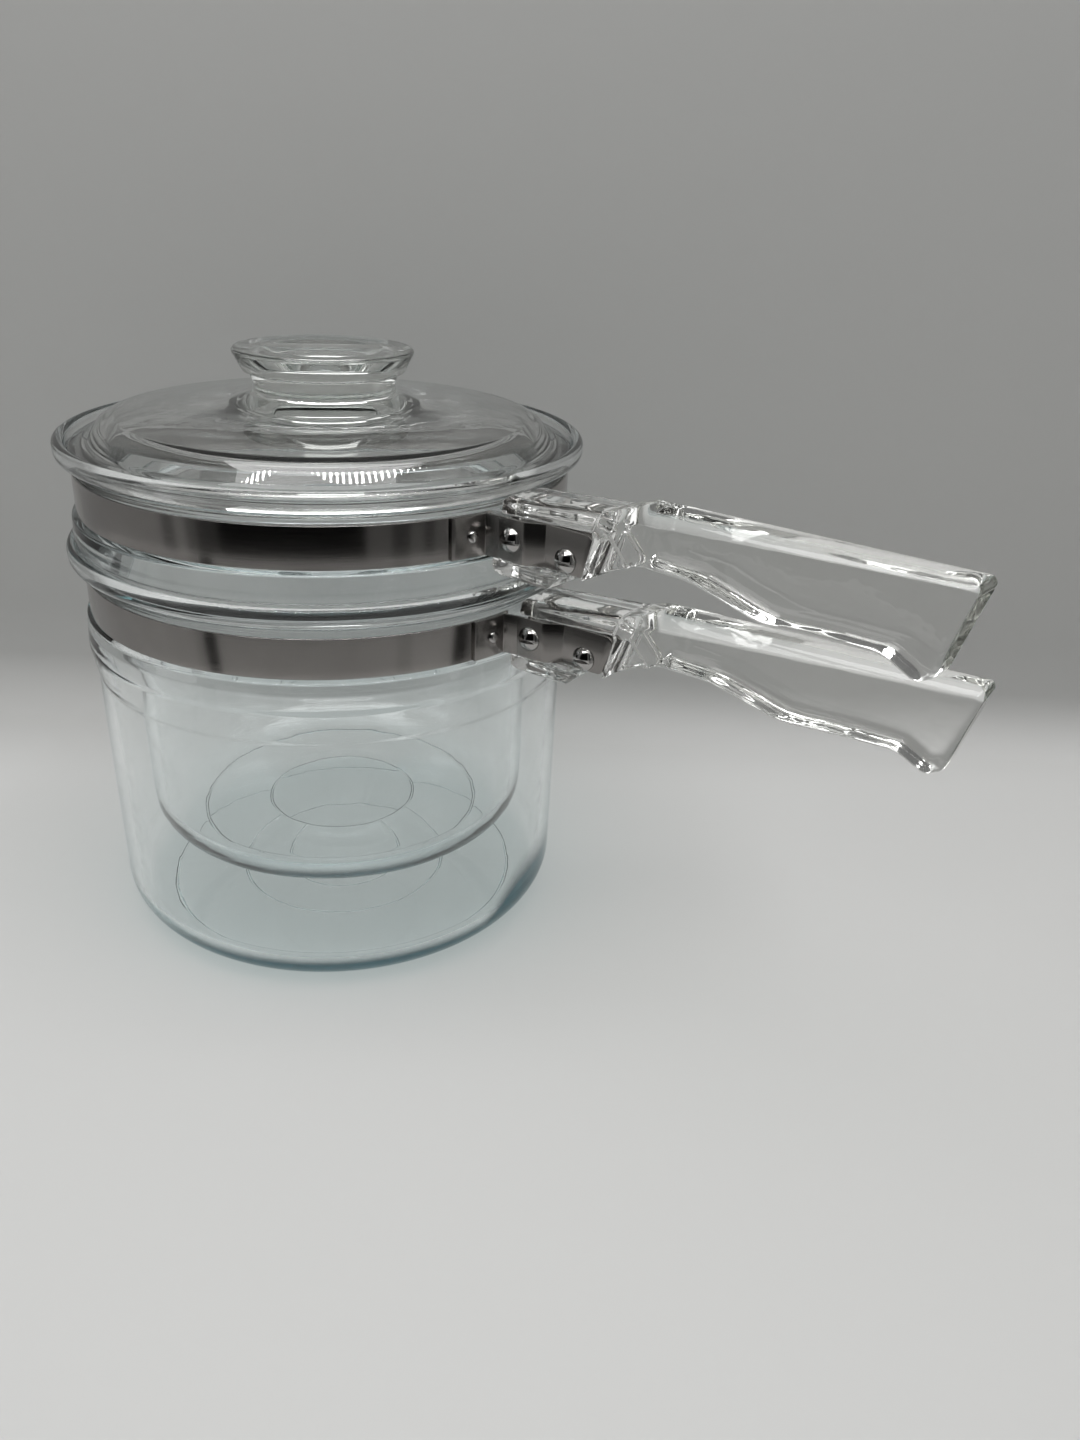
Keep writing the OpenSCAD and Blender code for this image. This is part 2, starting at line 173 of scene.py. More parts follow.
def one_point(name, place):
    """Starts a drawing as a single point, merged from a small square."""
    deselect_all()
    bpy.ops.mesh.primitive_plane_add(size=MM, location=(0, 0, 0))
    piece = bpy.context.object
    piece.name = name
    bpy.ops.object.mode_set(mode="EDIT")
    bpy.ops.mesh.select_mode(type="VERT")
    bpy.ops.mesh.merge(type="CENTER")
    bpy.ops.transform.translate(value=place)
    return piece


def draw_line(piece, places):
    """Extrudes the last point along a row of places."""
    for before, after in zip(places, places[1:]):
        step = Vector(after) - Vector(before)
        bpy.ops.mesh.extrude_vertices_move(TRANSFORM_OT_translate={"value": step})


def round_corner(piece, before, at, after, radius):
    """Turns a drawn corner into an arc of the given radius."""
    one = (Vector(before) - Vector(at)).normalized()
    two = (Vector(after) - Vector(at)).normalized()
    half = one.angle(two) / 2
    reach = radius / math.tan(half)
    turn = math.pi - 2 * half
    corner = Vector(at)
    choose_points(piece, lambda place: (place - corner).length < SAME_PLACE)
    bpy.ops.mesh.bevel(offset_type="OFFSET", offset=reach, affect="VERTICES", profile=0.5,
                       segments=max(2, round(turn / math.radians(10))), clamp_overlap=False)


def draw_rounded(name, corners, closed=False):
    """Draws a line of (x, z, radius) corners in the plane y = 0 and rounds each corner."""
    places = [(x * MM, 0.0, z * MM) for x, z, r in corners]
    piece = one_point(name, places[0])
    draw_line(piece, places)
    if closed:
        choose_points(piece, lambda place: min((place - Vector(places[0])).length,
                                               (place - Vector(places[-1])).length) < SAME_PLACE)
        bpy.ops.mesh.edge_face_add()
    count = len(places)
    for i, (x, z, radius) in enumerate(corners):
        if radius > 0:
            round_corner(piece, places[i - 1], places[i], places[(i + 1) % count], radius * MM)
    return piece


def turn_on_axis(piece, steps=TURN_STEPS, angle=2 * math.pi):
    """Spins the drawn line round the upright axis and welds what meets."""
    bpy.ops.mesh.select_all(action="SELECT")
    bpy.ops.mesh.spin(steps=steps, angle=angle, center=(0, 0, 0), axis=(0, 0, -1))
    bpy.ops.mesh.select_all(action="SELECT")
    bpy.ops.mesh.remove_doubles(threshold=2e-6)
    bpy.ops.mesh.normals_make_consistent(inside=False)
    done()


def smooth(piece, degrees=None):
    take_up(piece)
    if degrees is None:
        bpy.ops.object.shade_smooth()
    else:
        bpy.ops.object.shade_smooth_by_angle(angle=math.radians(degrees))


def finish_with(piece, kind, **settings):
    """Adds a modifier, sets it and applies it."""
    take_up(piece)
    modifier = piece.modifiers.new(name=kind.title(), type=kind)
    for key, value in settings.items():
        setattr(modifier, key, value)
    bpy.ops.object.modifier_apply(modifier=modifier.name)


def break_edges(piece, width, degrees):
    """Bevels every edge that turns by more than the given angle."""
    finish_with(piece, "BEVEL", width=width * MM, segments=2, limit_method="ANGLE",
                angle_limit=math.radians(degrees))


def copy_of(source, name):
    """Makes a copy with its own mesh."""
    take_up(source)
    bpy.ops.object.duplicate(linked=False)
    piece = bpy.context.object
    piece.name = name
    piece.data.name = name
    return piece


def welded_copy(node, name):
    """Copies a CAD node, welds its loose triangles and joins its flat faces."""
    piece = copy_of(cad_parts[node], name)
    piece.parent = None
    piece.rotation_mode = "XYZ"
    piece.matrix_world = Matrix.Identity(4)
    edit(piece)
    bpy.ops.mesh.select_all(action="SELECT")
    bpy.ops.mesh.remove_doubles(threshold=SAME_PLACE)
    bpy.ops.mesh.dissolve_limited(angle_limit=math.radians(0.5))
    done()
    return piece


def raised_copy(piece, name):
    """Copies a lower piece up to the insert and turns it as the insert is turned."""
    twin = copy_of(piece, name)
    twin.location.z = INSERT_RISE
    twin.rotation_euler.z = INSERT_TURN
    bpy.ops.object.transform_apply(location=True, rotation=True, scale=True)
    return twin


# Shapes; pots and lid are lists of (x, z, radius) corners, turned on their axis

def neck_outside(z):
    """The outside of a neck from its band's bottom edge at height z up to the rim."""
    return [
        (NECK_R, z - 0.4, 0.4),
        (NECK_R, z + BAND_H + 2, 4),
        (RIM_R, z + RIM_TOP - 5, 3),
        (RIM_R, z + RIM_TOP, 1.8),
    ]


def neck_inside(z):
    """The inside of the same neck from the rim down past the lid's ledge."""
    return [
        (LIP_IN, z + RIM_TOP, 1.8),
        (LIP_IN, z + LEDGE_TOP, 1),
        (LEDGE_R, z + LEDGE_TOP, 1),
        (NECK_IN, z + LEDGE_TOP - 3, 3),
    ]


def ring_groove(radius, z, depth=0.3, width=1.2):
    """A ring pressed up into the underside of a base."""
    half = width / 2
    return [
        (radius - half, z, 0.25),
        (radius - half * 0.4, z + depth, 0.2),
        (radius + half * 0.4, z + depth, 0.2),
        (radius + half, z, 0.25),
    ]


def make_lower_pot():
    z = LOWER_BAND_Z
    wall_r = NECK_R + BODY_OUT
    corners = [(0, 0, 0)]
    for radius in LOWER_RINGS:
        corners += ring_groove(radius, 0)
    corners += [
        (FOOT_R, 0, LOWER_CORNER),
        (wall_r, z - 2 * SHOULDER_DROP, 8),
        (SHOULDER_R, z - SHOULDER_DROP, 6),
        (SHOULDER_R - 0.8, z - SHOULDER_EDGE, 1),
    ]
    corners += neck_outside(z) + neck_inside(z)
    corners += [
        (NECK_IN, z + 1, 4),
        (SHOULDER_R - WALL, z - SHOULDER_DROP / 2, 4),
        (SHOULDER_R - WALL, z - SHOULDER_DROP, 6),
        (wall_r - WALL, z - 2 * SHOULDER_DROP, 8),
        (FOOT_R - WALL, FLOOR_T, LOWER_CORNER - WALL),
        (0, FLOOR_T, 0),
    ]
    piece = draw_rounded("lower_pot_glass", corners)
    turn_on_axis(piece)
    smooth(piece)
    return piece


def make_insert_pot():
    z = INSERT_BAND_Z
    bead_z = z - BEAD_DROP
    plug_r = LIP_IN - PLUG_GAP
    plug_bottom = bead_z - PLUG_DEPTH
    bowl_top = plug_bottom - BOWL_DROP
    throat_r = NECK_IN - THROAT_IN
    corners = [(0, BOWL_BASE, 0)]
    for radius in BOWL_RINGS:
        corners += ring_groove(radius, BOWL_BASE)
    corners += [
        (BOWL_FOOT_R, BOWL_BASE, BOWL_CORNER),
        (BOWL_R, bowl_top, 20),
        (throat_r, plug_bottom - 1.8, 2),
        (plug_r, plug_bottom, 1),
        (plug_r, bead_z, 0.5),
        (SHOULDER_R, bead_z, 1.5),
        (SHOULDER_R - 0.4, z - SHOULDER_EDGE, 1),
    ]
    corners += neck_outside(z) + neck_inside(z)
    corners += [
        (NECK_IN, plug_bottom + 2, 3),
        (throat_r - WALL, plug_bottom - 4, 3),
        (BOWL_R - WALL, bowl_top, 20),
        (BOWL_FOOT_R - WALL, BOWL_BASE + FLOOR_T, BOWL_CORNER - WALL),
        (0, BOWL_BASE + FLOOR_T, 0),
    ]
    piece = draw_rounded("insert_pot_glass", corners)
    turn_on_axis(piece)
    smooth(piece)
    return piece


def make_lid():
    edge_r = LIP_IN - LID_GAP
    dome_r = LIP_IN - DOME_IN
    waist_r = KNOB_R - WAIST_IN
    dish_r = KNOB_R - DISH_IN
    edge_z = INSERT_BAND_Z + LEDGE_TOP + SEAT_GAP
    top_z = edge_z + LID_T
    dome_z = top_z + DOME_H
    crown_z = dome_z + CROWN_H
    knob_top = crown_z + KNOB_H
    locate_r = NECK_IN - LID_GAP
    corners = [
        (0, crown_z - LID_T, 0),
        (waist_r + 6, crown_z - 4, 20),
        (dome_r - 3.2, dome_z - 3.8, 5),
        (dome_r + 1.5, edge_z - 2, 2),
        (locate_r, edge_z - 3, 1),
        (locate_r + 0.2, edge_z, 0.6),
        (edge_r, edge_z, 1.2),
        (edge_r, top_z - 0.4, 1.4),
        (dome_r + 4.5, top_z + 0.3, 4),
        (dome_r - 1, dome_z - 0.4, 8),
        (KNOB_R + 1.5, crown_z - 0.6, 4),
        (waist_r, crown_z + 2.6, 3),
        (waist_r + 1.4, crown_z + 6.4, 2),
        (waist_r + 2, crown_z + 8.6, 0.6),
        (KNOB_R - 3.2, crown_z + 9.3, 0.8),
        (KNOB_R, knob_top - 1, 0.8),
        (KNOB_R - 0.9, knob_top, 0.6),
        (dish_r + 2, knob_top - 0.4, 1.5),
        (dish_r - 3, knob_top - DISH_D, 3),
        (0, knob_top - DISH_D, 0),
    ]
    piece = draw_rounded("lid_glass", corners)
    turn_on_axis(piece)
    smooth(piece)
    return piece


def is_underside_edge(ends, normals):
    """True where the grip's underside meets one of its upright sides."""
    low = max(end.z for end in ends) < (LOWER_BAND_Z + UNDERSIDE_TOP) * MM
    behind = min(end.x for end in ends) > GRIP_START * MM
    below, beside = sorted(abs(normal.y) for normal in normals)
    return low and behind and below < 0.5 and beside > 0.99


def is_end_edge(ends, normals):
    """True where the grip's raked end face meets another face."""
    far = min(end.x for end in ends) > GRIP_END * MM
    other, end_face = sorted(normal.x for normal in normals)
    return far and other < 0.8 and end_face > 0.9


def make_handle():
    """The pressed handle, with the softened edges that come out of a mould."""
    piece = welded_copy("lower_handle", "lower_handle_glass")
    edit(piece, "EDGE")
    round_edges(piece, is_underside_edge, UNDERSIDE_ROUND, 5)
    round_edges(piece, is_end_edge, END_ROUND, 3)
    done()
    finish_with(piece, "REMESH", mode="VOXEL", voxel_size=GRIP_VOXEL * MM, use_smooth_shade=True)
    finish_with(piece, "SMOOTH", factor=0.5, iterations=6)
    smooth(piece)
    return piece


def make_band():
    """The steel strap: a thin upright strip with softened edges, spun round the neck."""
    inner = NECK_R + FIT_GAP
    outer = inner + BAND_T
    low = LOWER_BAND_Z
    high = low + BAND_H
    soft = 0.2
    section = [(inner, low, soft), (outer, low, soft), (outer, high, soft), (inner, high, soft)]
    piece = draw_rounded("lower_band_steel", section, closed=True)
    bpy.ops.mesh.select_all(action="SELECT")
    bpy.ops.mesh.edge_face_add()
    turn_on_axis(piece, BAND_STEPS, math.radians(360 - 2 * BAND_END))
    piece.rotation_euler.z = math.radians(BAND_END)
    take_up(piece)
    bpy.ops.object.transform_apply(location=False, rotation=True, scale=False)
    smooth(piece, 40)
    return piece


def make_left_ear():
    """A bent ear, drawn from above along the band and out past both screws."""
    ear_in = NECK_R + BAND_T + 2 * FIT_GAP
    line = []
    for degrees in range(EAR_REACH, int(EAR_BEND), -1):
        angle = math.radians(degrees)
        line.append((ear_in * math.cos(angle), ear_in * math.sin(angle), 0))
    bend = math.radians(EAR_BEND)
    line += [
        (ear_in * math.cos(bend), ear_in * math.sin(bend), 1.2),
        (PLATE_START, PLATE_Y, 1.5),
        (PLATE_END, PLATE_Y, 1.5),
        (TAB_START, TAB_Y, 1.5),
        (TAB_END, TAB_Y, 0),
    ]
    places = [(x * MM, y * MM, LOWER_BAND_Z * MM) for x, y, radius in line]
    piece = one_point("lower_left_ear_steel", places[0])
    draw_line(piece, places)
    for i, (x, y, radius) in enumerate(line):
        if radius > 0:
            round_corner(piece, places[i - 1], places[i], places[i + 1], radius * MM)
    height = Vector((0, 0, BAND_H * MM))
    bpy.ops.mesh.select_all(action="SELECT")
    bpy.ops.mesh.extrude_edges_move(TRANSFORM_OT_translate={"value": height})

    # The tab's end leans and has its two corners rounded
    end_low = Vector(places[-1])
    slant = Vector((-TAB_SLANT * MM, 0, 0))
    choose_points(piece, lambda place: (place - end_low).length < SAME_PLACE)
    bpy.ops.transform.translate(value=slant)
    end_high = end_low + height
    end_low = end_low + slant
    far_low = Vector(places[-2])
    far_high = far_low + height
    round_corner(piece, far_high, end_high, end_low, 3 * MM)
    round_corner(piece, far_low, end_low, end_high, 1.5 * MM)

    # The thickness goes outwards, so the tab's face has to look away from the web
    bpy.ops.mesh.select_all(action="SELECT")
    bpy.ops.mesh.normals_make_consistent(inside=False)
    shape = bmesh.from_edit_mesh(piece.data)
    tab = max(shape.faces, key=lambda face: face.calc_center_median().x)
    if tab.normal.y < 0:
        bpy.ops.mesh.flip_normals()
    done()
    finish_with(piece, "SOLIDIFY", thickness=EAR_T * MM, offset=1, use_even_offset=True)
    break_edges(piece, 0.15, 50)
    smooth(piece, 35)
    return piece


def mirrored_copy(piece, name):
    """Copies a piece to the other side of the handle."""
    twin = copy_of(piece, name)
    edit(twin)
    bpy.ops.mesh.select_all(action="SELECT")
    bpy.ops.transform.mirror(orient_type="GLOBAL", constraint_axis=(False, True, False),
                             center_override=(0, 0, 0))
    bpy.ops.mesh.normals_make_consistent(inside=False)
    done()
    return twin


def make_fastener(node, name, edge):
    """A rivet, screw or nut with its edges broken."""
    piece = welded_copy(node, name)
    break_edges(piece, edge, 35)
    smooth(piece, 35)
    return piece


# Finishes

# What a lamp's light keeps through one glass surface; the dark teal painted into the base corner,
# partly the glass's tint along a long path and partly painted shade (the shaded floor under the
# pot seen through the corner); and the direction in which that painted shade reaches highest
SHADE = (0.928, 0.935, 0.935)
PAINTED_FOOT_SHADE = (0.006, 0.032, 0.046)
PAINTED_SHADE_WAY = math.radians(18)
PAINTED_SHADE_SIDE = (math.cos(PAINTED_SHADE_WAY), math.sin(PAINTED_SHADE_WAY), 0)
GLASS_IOR = 1.48


def new_material(name):
    """Starts a material with an empty node tree."""
    material = bpy.data.materials.new(name)
    material.use_nodes = True
    material.node_tree.nodes.clear()
    return material, material.node_tree


def new_group(name, taken, given):
    """Starts a node group whose sockets all carry one number."""
    group = bpy.data.node_groups.new(name, "ShaderNodeTree")
    for socket in taken:
        group.interface.new_socket(socket, in_out="INPUT", socket_type="NodeSocketFloat")
    for socket in given:
        group.interface.new_socket(socket, in_out="OUTPUT", socket_type="NodeSocketFloat")
    return group


def put(tree, kind, **values):
    """Adds a node and sets its inputs; a space in an input's name is written as _."""
    node = tree.nodes.new("ShaderNode" + kind)
    for name, value in values.items():
        node.inputs[name.replace("_", " ")].default_value = value
    return node


def wire(tree, output, node, name):
    tree.links.new(output, node.inputs[name])


def figure(tree, operation, *terms):
    """Arithmetic on outputs of other nodes and plain numbers."""
    node = put(tree, "Math")
    node.operation = operation
    for i, term in enumerate(terms):
        if isinstance(term, (int, float)):
            node.inputs[i].default_value = term
        else:
            wire(tree, term, node, i)
    return node.outputs[0]


def measure(tree, operation, arrow, other=None):
    """Arithmetic on an arrow that gives one number, such as its length."""
    node = put(tree, "VectorMath")
    node.operation = operation
    wire(tree, arrow, node, 0)
    if other is not None:
        node.inputs[1].default_value = other
    return node.outputs["Value"]


def spread(tree, value, start, end, first=0.0, last=1.0, eased=False):
    """Maps a value between start and end onto the range from first to last."""
    node = put(tree, "MapRange", From_Min=start, From_Max=end, To_Min=first, To_Max=last)
    if eased:
        node.interpolation_type = "SMOOTHSTEP"
    wire(tree, value, node, "Value")
    return node.outputs["Result"]


def blend(tree, share, one, two):
    """Mixes two colours, each a plain colour or another node's output."""
    node = put(tree, "Mix")
    node.data_type = "RGBA"
    wire(tree, share, node, "Factor")
    for name, colour in (("A", one), ("B", two)):
        if isinstance(colour, tuple):
            node.inputs[name].default_value = (*colour, 1)
        else:
            wire(tree, colour, node, name)
    return node.outputs["Result"]


def make_ripple_group():
    """Soft waves of pressed glass, a height from two sizes of noise, and faint smudges."""
    tree = new_group("pressed ripple", ("Wave size", "Fine size"), ("Height", "Smudge"))
    given = tree.nodes.new("NodeGroupInput")
    out = tree.nodes.new("NodeGroupOutput")
    place = put(tree, "TexCoord")
    waves = put(tree, "TexNoise", Detail=1.0, Roughness=0.4)
    fine = put(tree, "TexNoise", Detail=2.0)
    smear = put(tree, "TexNoise", Scale=22.0, Detail=4.0)
    for noise in (waves, fine, smear):
        wire(tree, place.outputs["Object"], noise, "Vector")
    wire(tree, given.outputs["Wave size"], waves, "Scale")
    wire(tree, given.outputs["Fine size"], fine, "Scale")
    fine_share = 0.12
    height = figure(tree, "MULTIPLY_ADD", fine.outputs["Fac"], fine_share, waves.outputs["Fac"])
    wire(tree, height, out, "Height")
    wire(tree, spread(tree, smear.outputs["Fac"], 0.52, 0.75), out, "Smudge")
    return tree


def paint_foot_shade(tree, colour, base, height, middle, corner_round, swell):
    """Paints shade into a colour on the outside of a base corner.

    The corner is rounded about a ring of radius middle. The dark teal is partly the glass's tint
    along a long path and partly painted shade, the shaded floor under the pot seen through the
    corner. It reaches up to height over the base, and swell times as high on the side it leans to.
    """
    place = put(tree, "TexCoord")
    split = put(tree, "SeparateXYZ")
    flat = put(tree, "CombineXYZ")
    wire(tree, place.outputs["Object"], split, "Vector")
    wire(tree, split.outputs["X"], flat, "X")
    wire(tree, split.outputs["Y"], flat, "Y")
    reach = measure(tree, "LENGTH", flat.outputs["Vector"])
    towards = measure(tree, "DOT_PRODUCT", flat.outputs["Vector"], PAINTED_SHADE_SIDE)
    wall_r = (middle + corner_round) * MM

    # Low enough over the base, with more room on the side where the painted shade leans
    shade_reach = spread(tree, towards, 0.88 * wall_r, wall_r, 1.0, swell, eased=True)
    over = figure(tree, "SUBTRACT", split.outputs["Z"], base * MM)
    share = figure(tree, "DIVIDE", over, shade_reach)
    low = spread(tree, share, height * MM, 0.6 * height * MM, eased=True)

    # Past the flat of the base, and on the corner's outer skin, not on its inner one
    beyond = figure(tree, "SUBTRACT", reach, middle * MM)
    past_flat = spread(tree, beyond, 1 * MM, 5 * MM, eased=True)
    under = figure(tree, "SUBTRACT", over, corner_round * MM)
    spoke = put(tree, "CombineXYZ")
    wire(tree, beyond, spoke, "X")
    wire(tree, under, spoke, "Y")
    skin = measure(tree, "LENGTH", spoke.outputs["Vector"])
    outer = spread(tree, skin, (corner_round - 0.6 * WALL) * MM, (corner_round - 0.4 * WALL) * MM)

    # Only where a line of sight enters the glass
    side = put(tree, "NewGeometry")
    entering = spread(tree, side.outputs["Backfacing"], 0.0, 1.0, 1.0, 0.0)
    # Where the corner's painted shade lies, blended over the glass's colour
    corner = figure(tree, "MULTIPLY", low, figure(tree, "MULTIPLY", past_flat, outer))
    return blend(tree, figure(tree, "MULTIPLY", corner, entering), colour, PAINTED_FOOT_SHADE)


def clear_glass(name, ripple, tint, density, waves, fine, depth, face, edge, foot_shade=None):
    """Glass that bends what is behind it, tints along its thickness and lets the lamps through.

    waves and fine are the sizes of the ripple's two noises, and depth its height in millimetres.
    face is the colour of the surface seen square on, and edge the dark colour painted in where
    a wall is seen nearly along its length, partly the glass's tint along a long path and partly
    painted shade of the dark edge lines.
    The last argument, where there is one, gives the measures of the painted shade in the base corner.
    """
    material, tree = new_material(name)
    out = put(tree, "OutputMaterial")
    glass = put(tree, "BsdfPrincipled", Metallic=0.0, IOR=GLASS_IOR, Transmission_Weight=1.0)
    surface = put(tree, "Group")
    surface.node_tree = ripple
    surface.inputs["Wave size"].default_value = waves
    surface.inputs["Fine size"].default_value = fine
    bump = put(tree, "Bump", Strength=1.0, Distance=depth * MM)
    wire(tree, surface.outputs["Height"], bump, "Height")
    wire(tree, bump.outputs["Normal"], glass, "Normal")
    smudge_rough = 0.03
    rough = spread(tree, surface.outputs["Smudge"], 0.0, 1.0, 0.0, smudge_rough)
    wire(tree, rough, glass, "Roughness")

    # Painted shade: the colour darkens towards edge where the surface is seen at a grazing angle
    facing = put(tree, "LayerWeight", Blend=0.5)
    wire(tree, bump.outputs["Normal"], facing, "Normal")
    turned = spread(tree, facing.outputs["Facing"], 0.78, 1.0, eased=True)
    colour = blend(tree, turned, face, edge)
    # Painted shade in the base corner, where there is one
    if foot_shade:
        colour = paint_foot_shade(tree, colour, *foot_shade)
    wire(tree, colour, glass, "Base Color")

    # Shadow rays and bounced light pass straight on, so the floor under the glass stays lit
    path = put(tree, "LightPath")
    straight = figure(tree, "MAXIMUM", path.outputs["Is Shadow Ray"], path.outputs["Is Diffuse Ray"])
    through = put(tree, "BsdfTransparent", Color=(*SHADE, 1))
    mix = put(tree, "MixShader")
    wire(tree, straight, mix, "Fac")
    wire(tree, glass.outputs["BSDF"], mix, 1)
    wire(tree, through.outputs["BSDF"], mix, 2)
    wire(tree, mix.outputs["Shader"], out, "Surface")
    body = put(tree, "VolumeAbsorption", Color=(*tint, 1), Density=density)
    wire(tree, body.outputs["Volume"], out, "Volume")
    return material


def make_brush_group():
    """Brushing that runs round the neck, with a few scratches and dull patches."""
    tree = new_group("brushed strip", (), ("Grain", "Scratches", "Patches"))
    out = tree.nodes.new("NodeGroupOutput")
    place = put(tree, "TexCoord")
    split = put(tree, "SeparateXYZ")
    strip = put(tree, "CombineXYZ")
    wire(tree, place.outputs["Object"], split, "Vector")
    wire(tree, figure(tree, "ARCTAN2", split.outputs["Y"], split.outputs["X"]), strip, "X")
    wire(tree, split.outputs["Z"], strip, "Y")
    stretch = put(tree, "Mapping", Scale=(6, 2600, 1))
    grain = put(tree, "TexNoise", Scale=1.0, Detail=4.0)
    wire(tree, strip.outputs["Vector"], stretch, "Vector")
    wire(tree, stretch.outputs["Vector"], grain, "Vector")
    wire(tree, grain.outputs["Fac"], out, "Grain")
    slant = put(tree, "Mapping", Scale=(14, 420, 1), Rotation=(0, 0, 0.02))
    marks = put(tree, "TexNoise", Scale=1.0, Detail=6.0, Roughness=0.7)
    wire(tree, strip.outputs["Vector"], slant, "Vector")
    wire(tree, slant.outputs["Vector"], marks, "Vector")
    wire(tree, spread(tree, marks.outputs["Fac"], 0.68, 0.74), out, "Scratches")
    patch = put(tree, "TexNoise", Scale=60.0, Detail=3.0)
    wire(tree, place.outputs["Object"], patch, "Vector")
    wire(tree, patch.outputs["Fac"], out, "Patches")
    return tree


def worn_steel(name, brush, light, dark, glossy, dull, depth):
    """Steel whose colour drifts between light and dark and whose gloss follows the brushing.

    glossy and dull are its least and most roughness, and depth the brushing's in millimetres.
    """
    material, tree = new_material(name)
    out = put(tree, "OutputMaterial")
    steel = put(tree, "BsdfPrincipled", Metallic=1.0)
    surface = put(tree, "Group")
    surface.node_tree = brush
    wire(tree, blend(tree, surface.outputs["Patches"], light, dark), steel, "Base Color")
    rough = spread(tree, surface.outputs["Grain"], 0.0, 1.0, glossy, dull)
    wire(tree, rough, steel, "Roughness")
    scratch_depth = -0.6
    relief = figure(tree, "MULTIPLY_ADD", surface.outputs["Scratches"], scratch_depth,
                    surface.outputs["Grain"])
    bump = put(tree, "Bump", Strength=1.0, Distance=depth * MM)
    wire(tree, relief, bump, "Height")
    wire(tree, bump.outputs["Normal"], steel, "Normal")
    wire(tree, steel.outputs["BSDF"], out, "Surface")
    return material


ripple = make_ripple_group()
brush = make_brush_group()
# Each glass's edge colour is painted shade at its grazing edges, partly its tint along a long path
pot_look = dict(tint=(0.62, 0.94, 0.97), waves=14.0, fine=60.0, depth=0.5,
                face=(1, 1, 1), edge=(0.12, 0.24, 0.28))
# Measures of the painted shade in each base corner
pot_foot_shade = (0, 16, FOOT_R - LOWER_CORNER, LOWER_CORNER, 2.1)
bowl_foot_shade = (BOWL_BASE, 12, BOWL_FOOT_R - BOWL_CORNER, BOWL_CORNER, 1.0)
pot_glass = clear_glass("pot glass", ripple, density=11.0, foot_shade=pot_foot_shade, **pot_look)
bowl_glass = clear_glass("bowl glass", ripple, density=8.0, foot_shade=bowl_foot_shade, **pot_look)
lid_glass = clear_glass("lid glass", ripple, tint=(0.84, 0.88, 0.84), density=10.0,
                        waves=18.0, fine=70.0, depth=0.25,
                        face=(0.86, 0.86, 0.855), edge=(0.20, 0.24, 0.24))
grip_glass = clear_glass("grip glass", ripple, tint=(0.86, 0.88, 0.78), density=6.0,
                         waves=30.0, fine=120.0, depth=0.7,
                         face=(1, 1, 1), edge=(0.45, 0.45, 0.38))
band_steel = worn_steel("band steel", brush, light=(0.44, 0.42, 0.40), dark=(0.34, 0.32, 0.31),
                        glossy=0.09, dull=0.20, depth=0.004)
ear_steel = worn_steel("ear steel", brush, light=(0.30, 0.285, 0.275), dark=(0.22, 0.21, 0.20),
                       glossy=0.16, dull=0.30, depth=0.006)
bright_steel = worn_steel("bright steel", brush, light=(0.50, 0.49, 0.48), dark=(0.36, 0.35, 0.34),
                          glossy=0.04, dull=0.12, depth=0.0015)


def dress(piece, body, node, material):
    """Gives a piece its finish and its body, and hides the CAD node it stands for."""
    piece.data.materials.clear()
    piece.data.materials.append(material)
    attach(piece, body)
    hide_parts(node)


# Pieces

lower_pot = make_lower_pot()
insert_pot = make_insert_pot()
lid = make_lid()
dress(lower_pot, "lower_ware", "lower_pot", pot_glass)
dress(insert_pot, "insert_ware", "insert_pot", bowl_glass)
dress(lid, "lid_ware", "lid", lid_glass)

left_ear = make_left_ear()
lower_pieces = {
    "handle": make_handle(),
    "band": make_band(),
    "left_ear": left_ear,
    "right_ear": mirrored_copy(left_ear, "lower_right_ear_steel"),
    "rivets": make_fastener("lower_rivets", "lower_rivets_steel", 0.15),
    "front_screw": make_fastener("lower_front_screw", "lower_front_screw_steel", 0.12),
    "front_nut": make_fastener("lower_front_nut", "lower_front_nut_steel", 0.3),
    "rear_screw": make_fastener("lower_rear_screw", "lower_rear_screw_steel", 0.12),
    "rear_nut": make_fastener("lower_rear_nut", "lower_rear_nut_steel", 0.3),
}
finishes = {
    "handle": ("handle_glass", grip_glass),
    "band": ("band_steel", band_steel),
    "left_ear": ("ear_steel", ear_steel),
    "right_ear": ("ear_steel", ear_steel),
}
for part, piece in lower_pieces.items():
    slot, material = finishes.get(part, ("bright_steel", bright_steel))
    twin = raised_copy(piece, piece.name.replace("lower", "insert"))
    dress(piece, "lower_ware", "lower_" + part, material)
    dress(twin, "insert_ware", "insert_" + part, material)


# Camera, from the photograph's own perspective

VIEW_TURN = math.radians(44.7)
CAMERA_AWAY = 0.3932
CAMERA_HIGH = 0.2555
YAW = 0.19695
PITCH = 0.45470
ROLL = 0.04399
FOCAL_PIXELS = 1120.98
PHOTO_HIGH = 1440
SENSOR = 36.0

# level and side lie flat, along and across the line of sight
turn = Matrix.Rotation(VIEW_TURN, 3, "Z")
level = Vector((math.sin(YAW), math.cos(YAW), 0))
side = Vector((math.cos(YAW), -math.sin(YAW), 0))
up = Vector((0, 0, 1))
ahead = level * math.cos(PITCH) - up * math.sin(PITCH)
above = up * math.cos(PITCH) + level * math.sin(PITCH)
right = side * math.cos(ROLL) + above * math.sin(ROLL)
top = above * math.cos(ROLL) - side * math.sin(ROLL)
lens = bpy.data.cameras.new("photo camera")
lens.sensor_fit = "AUTO"
lens.sensor_width = SENSOR
lens.lens = SENSOR * FOCAL_PIXELS / PHOTO_HIGH
lens.clip_start = 0.01
lens.clip_end = 50
camera = bpy.data.objects.new("photo_camera", lens)
bpy.context.scene.collection.objects.link(camera)
camera_place = turn @ Vector((0, -CAMERA_AWAY, CAMERA_HIGH))
